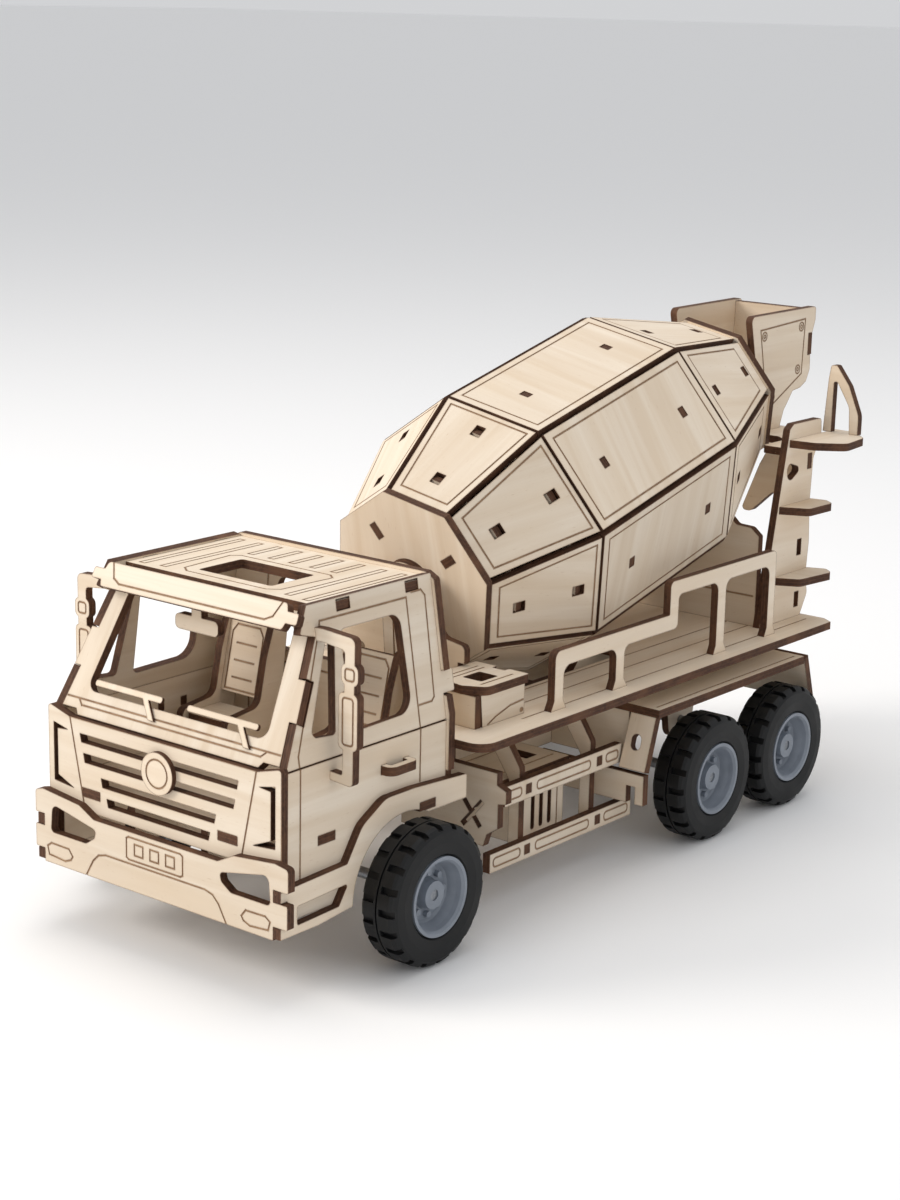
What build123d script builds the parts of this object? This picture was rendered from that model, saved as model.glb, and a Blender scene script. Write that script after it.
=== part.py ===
from build123d import *
from math import asin, atan, atan2, cos, degrees, hypot, radians, sin, tan
import os

os.makedirs("parts", exist_ok=True)

# ---------------------------------------------------------------- stock and fits (mm)
ply = 4.0                  # plywood sheet thickness, every flat piece
tab_fit = 0.12             # clearance round a tab in its slot, each side
turn_fit = 0.08            # radial clearance of a turning rod in its bearing hole
groove_w = 0.7             # width of an engraved line
groove_d = 0.35            # depth of an engraved line
run_gap = 1.2              # smallest gap between the turning drum and fixed plates

# ---------------------------------------------------------------- overall sizes (mm)
tyre_r = 31.5              # tyre outer radius, also the axle height
tyre_w = 19.6              # tyre width
wheel_x = 93.9             # outer face of the wheels from the middle
rim_r = 17.9               # rim flange radius
axle_r = 2.5               # axle rod radius
front_axle_y = -80.0
middle_axle_y = 135.9
rear_axle_y = middle_axle_y + 2 * tyre_r + 7.4

cab_half = 69.3            # outer face of the lower cab sides from the middle
cab_front = -150.0         # rear face of the grille plate
cab_rear = -48.5           # front face of the cab rear wall
belt_z = 98.2              # fold line between lower and upper cab sides
roof_z = 161.0             # top of the roof plate
side_lean = 9.4            # inward lean of the upper cab sides, degrees
sill_z = 30.1              # underside of the front overlays
cab_floor_z = 66.6         # top of the cab floor

deck_half = 86.9
deck_z = 88.9              # top of the deck
deck_front = cab_rear + ply
deck_rear = 253.9
deck_hole_half = 43.0
deck_hole_front = 21.0
deck_hole_rear = 126.0

rail_x = 77.8              # outer face of the side rails
tower_x = 67.0             # outer face of the rear towers
drum_tilt = 14.2           # rise of the drum axis toward the rear, degrees
drum_y = 65.7              # axis point where the front cone meets the middle
drum_z = 151.1
cone_front = 54.6          # axial length of the front cone
drum_mid = 114.7
cone_rear = 77.3
drum_R = 72.4              # corner radius of the middle
drum_R_front = 47.3
drum_R_rear = 42.3
drum_turn = 12.0           # resting turn of the drum about its axis, degrees
shaft_r = 4.0
rib_in = 26.0
rib_out = 34.0

hopper_half = 26.0
hopper_top = 243.4
shelf_z = 180.0            # top of the hopper shelf
guard_x = 70.0             # outer face of the side guards

length_front = cab_front - 2 * ply
length_rear = 320.0
y_mid = (length_front + length_rear) / 2

# ---------------------------------------------------------------- drawing helpers


def outline(*corners):
    """Face bounded by corners (x, y) or (x, y, radius); the radius rounds that corner."""
    pts = [(c[0], c[1], c[2] if len(c) > 2 else 0.0) for c in corners]
    n = len(pts)
    starts = []
    arcs = []
    for i in range(n):
        px, py, _ = pts[i - 1]
        x, y, r = pts[i]
        qx, qy, _ = pts[(i + 1) % n]
        if r <= 0:
            starts.append(((x, y), (x, y)))
            arcs.append(None)
            continue
        ax, ay = px - x, py - y
        bx, by = qx - x, qy - y
        la, lb = hypot(ax, ay), hypot(bx, by)
        ax, ay, bx, by = ax / la, ay / la, bx / lb, by / lb
        half = asin(min(1.0, hypot(ax - bx, ay - by) / 2))
        r = min(r, 0.49 * min(la, lb) * tan(half))
        d = r / tan(half)
        mx, my = ax + bx, ay + by
        lm = hypot(mx, my)
        k = (r / sin(half) - r) / lm
        starts.append(((x + ax * d, y + ay * d), (x + bx * d, y + by * d)))
        arcs.append((x + mx * k, y + my * k))
    edges = []
    for i in range(n):
        a, b = starts[i]
        if arcs[i]:
            edges.append(ThreePointArc(a, arcs[i], b))
        c = starts[(i + 1) % n][0]
        if hypot(b[0] - c[0], b[1] - c[1]) > 1e-6:
            edges.append(Line(b, c))
    return make_face(edges)


def box2(x0, y0, x1, y1, r=0.0):
    """Rectangle between two corners, all four corners rounded by r."""
    return outline((x0, y0, r), (x1, y0, r), (x1, y1, r), (x0, y1, r))


def flip(corners):
    """The same corners mirrored in x, in reverse order."""
    return [(-c[0],) + tuple(c[1:]) for c in reversed(corners)]


def stroke(points, closed=False, w=groove_w):
    """Thin strips along a path, for an engraved line."""
    pts = list(points)
    if closed:
        pts.append(pts[0])
    strips = []
    for (x0, y0), (x1, y1) in zip(pts, pts[1:]):
        length = hypot(x1 - x0, y1 - y0)
        turn = degrees(atan2(y1 - y0, x1 - x0))
        mid = Pos((x0 + x1) / 2, (y0 + y1) / 2)
        strips.append(mid * Rot(0, 0, turn) * Rectangle(length + w, w))
    return strips


def ring_line(face, w=groove_w):
    """Engraved closed line just inside the rim of a face."""
    return [face - offset(face, amount=-w)]


def sheet(face, thick=ply, cuts=(), lines=()):
    """Plate below its drawing plane; cuts go through, lines are engraved in the drawn side."""
    for c in cuts:
        face = face - c
    body = extrude(face, -thick)
    if lines:
        marks = Sketch()
        for mark in lines:
            marks = marks + mark
        body = body - extrude(marks, -groove_d)
    return body


def side_plane(x):
    """Drawing plane facing +X: local x is along the truck, local y is up."""
    return Plane(origin=(x, 0, 0), x_dir=(0, 1, 0), z_dir=(1, 0, 0))


def front_plane(y):
    """Drawing plane facing the front: local x is across, local y is up."""
    return Plane(origin=(0, y, 0), x_dir=(1, 0, 0), z_dir=(0, -1, 0))


def flat_plane(z):
    """Drawing plane facing up."""
    return Plane(origin=(0, 0, z), x_dir=(1, 0, 0), z_dir=(0, 0, 1))


def both(part):
    """The piece and its mirror image on the other side."""
    return [part, mirror(part, about=Plane.YZ)]


def slot(x, y, w, h):
    """Slot for a tab w by h centred at x, y, with fit all round."""
    return box2(x - w / 2 - tab_fit, y - h / 2 - tab_fit, x + w / 2 + tab_fit, y + h / 2 + tab_fit)


def save(name, pieces):
    """Move the pieces so the truck is centred over the origin and write one file."""
    if not isinstance(pieces, (list, tuple)):
        pieces = [pieces]
    solids = []
    for piece in pieces:
        solids += (Pos(0, -y_mid, 0) * piece).solids()
    shape = solids[0] if len(solids) == 1 else Compound(children=solids)
    shape.label = name
    export_step(shape, f"parts/{name}.step")


# ---------------------------------------------------------------- shared frames

lean_k = tan(radians(side_lean))
upper_side = Plane(
    origin=(cab_half, 0, belt_z),
    x_dir=(0, 1, 0),
    z_dir=(cos(radians(side_lean)), 0, sin(radians(side_lean))),
)
screen_y0 = cab_front
screen_z0 = belt_z + 2.0
screen_dy, screen_dz = 25.0, 48.0
screen_len = hypot(screen_dy, screen_dz)
screen_dir = (0, screen_dy / screen_len, screen_dz / screen_len)
screen_out = (0, -screen_dz / screen_len, screen_dy / screen_len)
screen = Plane(origin=(0, screen_y0, screen_z0), x_dir=(1, 0, 0), z_dir=screen_out)

tilt = radians(drum_tilt)
drum_axis = (0, cos(tilt), sin(tilt))
drum_frame = Plane(origin=(0, drum_y, drum_z), x_dir=(1, 0, 0), z_dir=drum_axis)


def axis_z(y):
    """Height of the drum axis at a distance along the truck."""
    return drum_z + (y - drum_y) * tan(tilt)


def drum_sweep(gap):
    """Round space the drum turns in, with a gap all round."""
    profile = [
        (0, -cone_front - ply - gap),
        (drum_R_front + gap, -cone_front - ply - gap),
        (drum_R_front + gap, -cone_front),
        (drum_R + gap, 0),
        (drum_R + gap, drum_mid),
        (drum_R_rear + 1.5 + gap, drum_mid + cone_rear),
        (drum_R_rear + 1.5 + gap, drum_mid + cone_rear + ply + gap),
        (0, drum_mid + cone_rear + ply + gap),
    ]
    face = Plane.XZ * make_face(Polyline(*profile, close=True))
    return drum_frame * revolve(face, Axis.Z)


def shaft_hole():
    """Round hole along the drum axis for the turning shaft."""
    return drum_frame * Pos(0, 0, 70) * Cylinder(shaft_r + turn_fit, 360)

# ---------------------------------------------------------------- cab

arch_r = tyre_r + 2.0      # wheel arch radius in the cab sides and overlays
floor_tab_y = (-126.0, -65.2)
floor_tab_w = 10.5
grille_tab_x = (39.4, -43.0)   # floor tabs through the grille plate, right and left
grille_tab_w = 11.2
grille_mid = -2.0          # middle of the grille slots
handle_y = (-91.8, -74.0)  # ends of the door handles along the truck
handle_z = 87.7            # top of the door handles
handle_foot = 3.4
handle_reach = 6.0
strip_z = 61.2             # underside of the overlay's rear strip


def wheel_arch(bottom, y0=front_axle_y):
    """Opening round the front wheel, open below the strip behind the wheel."""
    disc = Pos(y0, tyre_r) * Circle(arch_r)
    rear = box2(y0, bottom - 5, cab_rear + 20, strip_z)
    return [disc, rear, box2(y0 - arch_r, bottom - 5, y0, tyre_r)]


def cab_lower_sides():
    """Flat lower door panels between the grille plate and the rear wall."""
    face = outline(
        (cab_front, 34.0), (cab_rear, 34.0), (cab_rear, belt_z), (cab_front, belt_z)
    )
    cuts = wheel_arch(34.0)
    for y in floor_tab_y:
        cuts.append(slot(y, cab_floor_z - ply / 2, floor_tab_w, ply))
    for y in (handle_y[0] + handle_foot / 2, handle_y[1] - handle_foot / 2):
        cuts.append(slot(y, handle_z - ply / 2, handle_foot, ply))
    lines = []
    lines += stroke([(-142.2, belt_z), (-142.2, 50.6)])
    lines += stroke([(-66.0, belt_z), (-66.0, 74.5)])
    return both(side_plane(cab_half) * sheet(face, cuts=cuts, lines=lines))


def lean_y(z):
    """Height on the leaning side panel's own drawing plane."""
    return (z - belt_z) / cos(radians(side_lean))


def screen_edge(z):
    """Distance along the truck of the windscreen's front surface at a height."""
    return screen_y0 + (z - screen_z0) * screen_dy / screen_dz


roof_tab_y = (-105.9, -61.8)
roof_tab_w = 8.2
screen_tab = (18.6, 36.6)  # windscreen side tab, measured up the screen
wall_tab = (110.0, 120.0)  # heights of the side panel tab through the rear wall


def screen_yz(s, depth=0.0):
    """Point in side view at a distance up the windscreen and a depth behind it."""
    y = screen_y0 + (s * screen_dy + depth * screen_dz) / screen_len
    z = screen_z0 + (s * screen_dz - depth * screen_dy) / screen_len
    return y, z


def cab_upper_sides():
    """Leaning window panels with the quarter light and the door window."""
    up = lean_y
    lift = ply * tan(radians(side_lean))
    drop = ply * sin(radians(side_lean))
    top = up(roof_z + 1.6)
    s0, s1 = screen_tab
    notch = [
        screen_yz(s1 + drop + 2 * tab_fit),
        screen_yz(s1 + drop + 2 * tab_fit, ply + drop),
        screen_yz(s0 - tab_fit, ply + drop),
        screen_yz(s0 - tab_fit),
    ]
    face = outline(
        (cab_front, lift),
        (cab_rear, lift),
        (cab_rear, up(wall_tab[0])),
        (cab_rear + ply + 3.5, up(wall_tab[0]), 1.0),
        (cab_rear + ply + 3.5, up(wall_tab[1]), 1.0),
        (cab_rear, up(wall_tab[1])),
        (cab_rear, top, 1.0),
        (-128.0, top),
        (-133.5, up(151.4), 1.0),
        (screen_edge(149.0), up(149.0)),
        *[(y, up(z)) for y, z in notch],
        (cab_front, up(screen_z0)),
    )
    cuts = [
        outline(
            (-134.3, up(109.0), 3),
            (-119.3, up(107.6), 2),
            (-113.6, up(145.0), 1.5),
            (-118.6, up(147.0), 1.5),
        ),
        outline(
            (-108.6, up(106.2), 3),
            (-70.2, up(106.8), 8),
            (-71.6, up(149.3), 6),
            (-109.6, up(149.3), 3),
        ),
    ]
    for y in roof_tab_y:
        cuts.append(slot(y, up(roof_z - ply / 2 + drop / 2), roof_tab_w, ply + drop + 0.1))
    lines = []
    lines += stroke([(-142.6, lift), (-142.6, up(103.5)), (-121.8, up(152.2)), (-121.2, up(155.0))])
    lines += stroke([(-121.2, up(155.0)), (-66.2, up(155.0)), (-66.2, lift)])
    lines += stroke([(-62.5, up(156.6)), (-56.2, up(156.6)), (-53.9, up(153.8)), (-55.0, up(110.0))])
    lines += stroke([(-55.0, up(110.0)), (-56.8, up(108.4)), (-65.4, up(108.4))])
    return both(upper_side * sheet(face, cuts=cuts, lines=lines))


def cab_rear_wall():
    """Wall behind the seats, its outline following both side panels."""
    k = lean_k
    half = cab_half + 1.6
    drop = ply * sin(radians(side_lean))
    skin = ply / cos(radians(side_lean))

    def edge(z, inset=0.0):
        return half - (z - belt_z) * k - inset

    z0 = wall_tab[0] - drop - tab_fit
    z1 = wall_tab[1] + tab_fit
    inset = 1.6 + skin + tab_fit
    right = [
        (cab_half, 72.2),
        (cab_half, 75.4),
        (half, 75.4),
        (half, 101.0, 3),
        (edge(z0), z0),
        (edge(z0, inset), z0),
        (edge(z1, inset), z1),
        (edge(z1), z1),
        (edge(roof_z - 1), roof_z - 1, 2),
        (edge(roof_z, 5.0), roof_z + 1.6, 1),
    ]
    face = outline(*right, *flip(right))
    window = outline((-34, 112, 5), (34, 112, 5), (31, 146, 5), (-31, 146, 5))
    lines = stroke([(-40, 106), (40, 106), (37, 152), (-37, 152)], closed=True)
    for x in (-50, 50):
        lines += stroke([(x, 78), (x, 102)])
    return front_plane(cab_rear) * sheet(face, cuts=[window], lines=lines)


def cab_roof():
    """Roof plate between the side panels, its tabs showing through both sides."""
    x_in = cab_half - (roof_z - belt_z) * lean_k - ply * 1.03
    tabs = []
    for y in reversed(roof_tab_y):
        tabs += [
            (x_in, y + roof_tab_w / 2),
            (x_in + ply, y + roof_tab_w / 2),
            (x_in + ply, y - roof_tab_w / 2),
            (x_in, y - roof_tab_w / 2),
        ]
    right = [(x_in, cab_rear)] + tabs + [(x_in, -120.8)]
    face = outline(*right, *flip(right))
    opening = outline((-21.6, -109.2, 1.5), (21.6, -109.2, 1.5), (21.6, -82.2, 1.5), (-21.6, -82.2, 1.5))
    lines = []
    lines += stroke(
        [(-28.5, -110.6), (-23.5, -114.5), (23.5, -114.5), (28.5, -110.6), (30.5, -80.5), (26.5, -77.2),
         (-26.5, -77.2), (-30.5, -80.5)],
        closed=True,
    )
    for x, y0 in ((37.0, -115.5), (48.5, -117.0)):
        for s in (1, -1):
            lines += stroke([(s * (x - 1.6), y0), (s * (x + 1.6), y0), (s * (x + 1.6), -54.0),
                             (s * (x - 1.6), -54.0)], closed=True)
    for i in range(5):
        x = -25.6 + 12.4 * i
        lines += stroke([(x - 1.6, -72.6), (x + 1.6, -72.6), (x + 1.6, -53.5), (x - 1.6, -53.5)], closed=True)
    return flat_plane(roof_z) * sheet(face, cuts=[opening], lines=lines)


def cab_floor():
    """Floor plate tabbed through the grille plate, the side panels and the overlays."""
    x_in = cab_half - ply
    x_out = cab_half + ply
    corners = [(x_in, cab_rear)]
    for y in reversed(floor_tab_y):
        corners += [
            (x_in, y + floor_tab_w / 2),
            (x_out if y > -100 else cab_half, y + floor_tab_w / 2),
            (x_out if y > -100 else cab_half, y - floor_tab_w / 2),
            (x_in, y - floor_tab_w / 2),
        ]
    corners += [
        (x_in, cab_front),
    ]
    face = outline(*corners, *flip(corners))
    for x in grille_tab_x:
        face = face + box2(x - grille_tab_w / 2, cab_front - ply, x + grille_tab_w / 2, cab_front + 1.0)
    return flat_plane(cab_floor_z) * sheet(face)


def windscreen_frame():
    """Leaning frame between the side panels, with the cowl strip below the glass opening."""
    def half(s):
        z = screen_z0 + s * screen_dz / screen_len
        return cab_half - (z - belt_z) * lean_k - ply * 1.02

    s_top = (roof_z - ply - screen_z0) * screen_len / screen_dz
    cowl = cab_half - 13.3
    low, high = cab_half - 15.7, cab_half - 20.7
    s0, s1 = screen_tab
    right = [
        (cowl - 2.0, -2.6),
        (cowl, 0.0),
        (half(0), 0.0),
        (half(s0), s0),
        (half(s0) + ply, s0),
        (half(s1) + ply, s1),
        (half(s1), s1),
        (half(s_top), s_top),
    ]
    face = outline(*right, *flip(right))
    opening = outline((-low, 9.0, 5), (low, 9.0, 5), (high, s_top - 6.5, 3), (-high, s_top - 6.5, 3))
    lines = []
    lines += stroke([(-cowl - 7.5, 4.6), (cowl + 7.5, 4.6)])
    lines += stroke([(-cowl, 4.4), (-cowl + 2.5, 1.9), (cowl - 2.5, 1.9), (cowl, 4.4)])
    return screen * sheet(face, cuts=[opening], lines=lines)


visor_y0, visor_z0 = -133.2 - ply, 153.1


def sun_visor():
    """Sloping visor across the top of the windscreen, tabbed into the side panels."""
    rise = hypot(5.0, 10.3)
    up = (0, 5.0 / rise, 10.3 / rise)
    plane = Plane(origin=(0, visor_y0, visor_z0), x_dir=(1, 0, 0), z_dir=(0, -up[2], up[1]))
    right = [(53.6, 0.0, 1.5), (54.6, 3.0), (60.6, 3.0, 1), (60.2, 8.0, 1), (54.0, 8.0), (52.6, 11.4, 2)]
    face = outline(*right, *flip(right))
    lines = stroke([(-50.0, 11.4), (-47.0, 4.6), (-43.0, 2.6), (43.0, 2.6), (47.0, 4.6), (50.0, 11.4)])
    return plane * sheet(face, lines=lines)


def grille_rows():
    """Four horizontal slots, shorter toward the bottom."""
    rows = []
    lean = 0.9
    for z0, z1, half in ((87.1, 91.0, 47.7), (78.2, 82.4, 45.7), (69.2, 73.3, 34.7), (60.9, 64.7, 31.3)):
        row = outline((-half + lean, z0), (half - lean, z0), (half, z1), (-half, z1))
        rows.append(Pos(grille_mid, 0) * row)
    return rows


def grille_panel():
    """Flat front plate with the slots, the corner lamps and the floor tab slots."""
    right = [(cab_half + 0.4, 56.0), (cab_half + 0.4, 101.0, 1.5), (56.0, 97.2, 2.0)]
    face = outline(*right, *flip(right))
    cuts = grille_rows()
    for x in grille_tab_x:
        cuts.append(slot(x, cab_floor_z - ply / 2, grille_tab_w, ply))
    for s in (1, -1):
        lamp = [(57.0, 91.0), (66.4, 93.0), (66.4, 66.2), (53.6, 65.0), (63.9, 69.2), (63.9, 90.4)]
        lamp = lamp if s > 0 else flip(lamp)
        cuts.append(outline(*lamp))
    lines = []
    for s in (1, -1):
        lines += stroke([(s * 55.9, 97.6), (s * 47.6, 59.0)])
        lines += stroke([(s * 47.6, 59.0), (s * 69.6, 61.8)])
    return front_plane(cab_front - ply) * sheet(face, cuts=cuts, lines=lines)


badge_x = 0.2


def grille_badge():
    """Round plain badge standing off the middle of the grille."""
    face = Pos(badge_x, 84.2) * Circle(9.4)
    inner = Pos(badge_x, 84.2) * (Circle(6.6) - Circle(5.9))
    return front_plane(cab_front - 1.6 * ply) * sheet(face, thick=0.6 * ply, lines=[inner])


def bumper():
    """Full-width bumper plate with the lamp openings and notches for the overlay tabs."""
    notch = cab_half - 0.2
    right = [
        (notch, 28.6),
        (notch, 34.7),
        (77.0, 34.7, 0.8),
        (77.0, 45.3, 0.8),
        (notch, 45.3),
        (notch, 50.7),
        (77.4, 50.7, 0.8),
        (77.4, 61.0, 2.0),
        (70.0, 62.2, 3.0),
        (46.6, 59.8, 2.0),
        (37.5, 55.2, 3.0),
    ]
    left = [(max(x, -74.8) if x < -75 else x, *rest) for x, *rest in flip(right)]
    face = outline(*right, *left)
    cuts = []
    lines = []
    for s in (1, -1):
        lamp = [(38.6, 50.6, 2.0), (66.4, 56.2, 3.0), (67.6, 43.2, 2.0), (45.0, 43.2, 3.0), (39.6, 46.8, 2.0)]
        lamp = lamp if s > 0 else [(x + 2.6, *rest) for x, *rest in flip(lamp)]
        cuts.append(outline(*lamp))
        mark = [(51.2, 34.8), (53.6, 37.8), (64.8, 38.0), (67.4, 36.2), (66.4, 32.4), (56.0, 31.6), (52.4, 33.0)]
        lines += stroke([(s * x, z) for x, z in mark], closed=True)
    lines += stroke(
        [(-17, 43.4), (-15.6, 42.6), (15.6, 42.6), (17, 43.4), (17, 52), (15.6, 52.8), (-15.6, 52.8), (-17, 52)],
        closed=True,
    )
    for x in (-9.5, 0.0, 9.5):
        lines += stroke([(x - 2.6, 45.2), (x + 2.6, 45.2), (x + 2.6, 50.2), (x - 2.6, 50.2)], closed=True)
    lines += stroke([(-42.6, 28.6), (-38.0, 36.4), (-34.6, 39.6), (-30.0, 40.8), (30.0, 40.8)])
    lines += stroke([(30.0, 40.8), (34.6, 39.6), (38.0, 36.4), (42.6, 28.6)])
    return front_plane(cab_front - 2 * ply) * sheet(face, cuts=cuts, lines=lines)


def fender_overlays():
    """Second layer over the lower sides: front step, wheel arch and rear strip."""
    y0 = cab_front - ply
    face = outline(
        (y0 - ply, 29.6),
        (-135.0, 29.6),
        (-113.8, 31.6),
        (-104.0, 22.0),
        (-80.0, 22.0),
        (-38.4, 22.0),
        (-38.4, 72.2, 1.0),
        (-74.0, 74.4, 12),
        (-93.0, 74.4, 12),
        (-108.0, 66.0, 12),
        (-117.4, 51.6, 1.0),
        (y0 - ply, 50.4),
        (y0 - ply, 45.6),
        (y0, 45.6),
        (y0, 34.4),
        (y0 - ply, 34.4),
    )
    cuts = wheel_arch(20.0)
    cuts.append(outline((-148.0, 41.6, 1), (-148.0, 33.4, 1), (-122.4, 34.2, 1), (-116.6, 42.8, 1)))
    for y in floor_tab_y[1:]:
        cuts.append(slot(y, cab_floor_z - ply / 2, floor_tab_w, ply))
    return both(side_plane(cab_half + ply) * sheet(face, cuts=cuts))


def door_handles():
    """Flat C-shaped pulls with both feet plugged into the door panels."""
    x0 = cab_half - ply
    x1 = cab_half + handle_reach
    y0, y1 = handle_y
    face = outline(
        (x0, y0),
        (x1, y0, 4),
        (x1, y1, 3),
        (x0, y1),
        (x0, y1 - handle_foot),
        (x1 - handle_foot, y1 - handle_foot, 1),
        (x1 - handle_foot, y0 + handle_foot, 1),
        (x0, y0 + handle_foot),
    )
    return both(flat_plane(handle_z) * sheet(face))


mirror_y = -124.4


def side_mirrors():
    """Door mirror brackets with a small and a long head, one each side."""
    z_top, z_low = 150.6, 91.4
    x_top = cab_half - (z_top - belt_z) * lean_k
    x_low = cab_half
    face = outline(
        (x_top + 3.2 * lean_k, z_top - 3.2),
        (x_top - 2.4 * lean_k, z_top + 2.4),
        (x_top + 4, z_top + 2.6, 1),
        (82.4, z_top + 1.4, 3),
        (81.8, 88.6, 2),
        (x_low, 89.6),
        (x_low, 93.4),
        (76.0, 93.0, 0.8),
        (77.0, 146.2, 2),
        (x_top + 4, z_top - 3.0, 1),
    )
    long_head = box2(73.6, 104.2, 84.0, 128.6, 2.6)
    small_head = box2(75.0, 131.8, 84.2, 141.0, 3.0)
    face = face + long_head + small_head
    lines = []
    lines += ring_line(box2(75.6, 106.0, 82.0, 126.8, 1.8))
    lines += ring_line(box2(76.8, 133.6, 82.4, 139.2, 1.6))
    return both(front_plane(mirror_y) * sheet(face, lines=lines))


def wipers():
    """Two T-shaped wipers lying on the windscreen frame."""
    pieces = []
    for x in (-28.0, 28.0):
        blade = box2(x - 20.5, 11.6, x + 20.5, 14.4, 1.2)
        arm = outline((x + 8.6, 12.4), (x + 12.0, 12.4), (x + 19.4, 3.4), (x + 16.0, 3.4))
        pieces.append(screen * Pos(0, 0, 1.4) * sheet(blade + arm, thick=1.4))
    return pieces


def interior_mirror():
    """Mirror plate hanging inside the windscreen on a short stem."""
    y = -115.8
    plate = box2(-29.4, 134.8, -3.4, 141.8, 2.5)
    stem = box2(-19.4, 140.0, -13.4, roof_z - ply)
    return front_plane(y) * sheet(plate + stem)


seat_x = cab_half - 31.8
seat_half = 12.0
seat_y = -66.0


def seat_side_face():
    """S-shaped seat side seen from the side."""
    z0 = cab_floor_z
    return outline(
        (-92.0, z0),
        (-62.0, z0),
        (-56.0, 96.0, 12),
        (-52.5, 126.0, 4),
        (-60.5, 129.0, 4),
        (-66.5, 112.0, 14),
        (-71.0, 90.5, 6),
        (-92.0, 88.0, 4),
    )


def seat_sides():
    """Two S-shaped plates under each seat back."""
    pieces = []
    for c in (seat_x, -seat_x):
        for s in (1, -1):
            x = c + s * seat_half + (ply if s > 0 else 0)
            pieces.append(side_plane(x) * sheet(seat_side_face()))
    return pieces


def seat_backs():
    """Padded back panels with three stitch lines."""
    lean = degrees(atan(7.0 / 32.0))
    pieces = []
    for c in (seat_x, -seat_x):
        w = seat_half
        face = box2(-w, 0, w, 34.0, 1.0)
        lines = stroke([(-w + 2.5, 1.5), (w - 2.5, 1.5), (w - 2.5, 28), (w - 5, 31.5), (-w + 5, 31.5),
                        (-w + 2.5, 28)], closed=True)
        for z in (7.0, 15.0, 23.0):
            lines += stroke([(-w + 6, z), (w - 6, z)])
        plate = Rot(-lean, 0, 0) * (Plane.XZ * sheet(face, lines=lines))
        pieces.append(Pos(c, seat_y - 1.6, 92.5) * plate)
    return pieces


def seat_cushions():
    """Seat cushion plates between the seat sides."""
    pieces = []
    for c in (seat_x, -seat_x):
        face = outline(
            (c - seat_half, -90.0, 3), (c + seat_half, -90.0, 3), (c + seat_half, -68.0), (c - seat_half, -68.0)
        )
        pieces.append(flat_plane(86.5) * sheet(face))
    return pieces


# ---------------------------------------------------------------- deck


def drum_hole_face():
    """Chamfered opening in the deck under the drum."""
    h, y0, y1 = deck_hole_half, deck_hole_front, deck_hole_rear
    return outline(
        (-h + 10, y0), (h - 10, y0), (h, y0 + 10), (h, y1 - 10), (h - 10, y1), (-h + 10, y1),
        (-h, y1 - 10), (-h, y0 + 10),
    )


def deck():
    """Long top plate with plank lines and the opening the drum dips into."""
    face = outline(
        (-deck_half, deck_front, 9),
        (deck_half, deck_front, 9),
        (deck_half, deck_rear - 4.2),
        (deck_half - 6.4, deck_rear),
        (-deck_half + 6.4, deck_rear),
        (-deck_half, deck_rear - 4.2),
    )
    lines = []
    for s in (1, -1):
        for x in (59.0, 74.0):
            lines += stroke([(s * x, 0.0), (s * x, deck_rear - 8)], w=0.6)
        lines += stroke([(s * 46.0, -30.0), (s * 46.0, deck_rear - 8)], w=0.6)
    return flat_plane(deck_z) * sheet(face, cuts=[drum_hole_face()], lines=lines)


def side_rails():
    """Stepped hand rails along both deck edges."""
    foot = deck_z + 3.2
    face = outline(
        (16.4, deck_z), (18.8, foot + 1.5, 2), (18.8, 117.0, 4), (110.6, 117.0, 0.5), (110.6, 133.4, 3),
        (206.6, 133.4, 3), (206.6, foot + 1.5, 2), (209.0, deck_z), (198.2, deck_z), (200.4, foot + 1.5, 2),
        (200.4, 126.0, 5), (160.0, 126.0, 5), (160.0, foot + 1.5, 2), (163.0, deck_z), (150.8, deck_z),
        (152.8, foot + 1.5, 2), (152.8, 126.0, 5), (117.8, 126.0, 3), (117.8, 109.2, 3), (73.4, 109.2, 4),
        (73.4, foot + 1.5, 2), (76.6, deck_z), (64.6, deck_z), (66.8, foot + 1.5, 2), (66.8, 109.2, 5),
        (25.4, 109.2, 5), (25.4, foot + 1.5, 2), (28.0, deck_z),
    )
    return both(side_plane(rail_x) * sheet(face))


box_x0, box_x1 = 42.0, 70.0
box_y0, box_y1 = -27.0, 7.5
box_z = 108.0


def deck_box_walls():
    """Four walls of the small box on the deck behind the cab."""
    z0, z1 = deck_z, box_z - ply
    side = outline((box_y0 + 4, z0), (box_y1, z0), (box_y1, z1), (box_y0 + 2.6, z1))
    lines = stroke(
        [(box_y0 + 8, z0 + 0.6), (box_y0 + 13.5, z0 + 3.1), (box_y0 + 24, z0 + 6.1), (box_y1 - 1, z0 + 6.8)]
    )
    handle = box2(box_y1 - 3.2, z0 + 1.2, box_y1 - 0.9, z0 + 3.2, 0.8)
    outer = side_plane(box_x1 - 0.8) * sheet(side, lines=lines + [handle])
    inner = side_plane(box_x0 + ply + 0.8) * sheet(side)
    front = front_plane(box_y0 + 2.6 - ply + 0.6) * sheet(box2(box_x0 - 1, z0, box_x1 - 1.2, z1))
    rear = front_plane(box_y1 - ply) * sheet(
        box2(box_x0 + ply + 0.8, z0, box_x1 - 0.8 - ply, z1)
    )
    return [outer, inner, front, rear]


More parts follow.
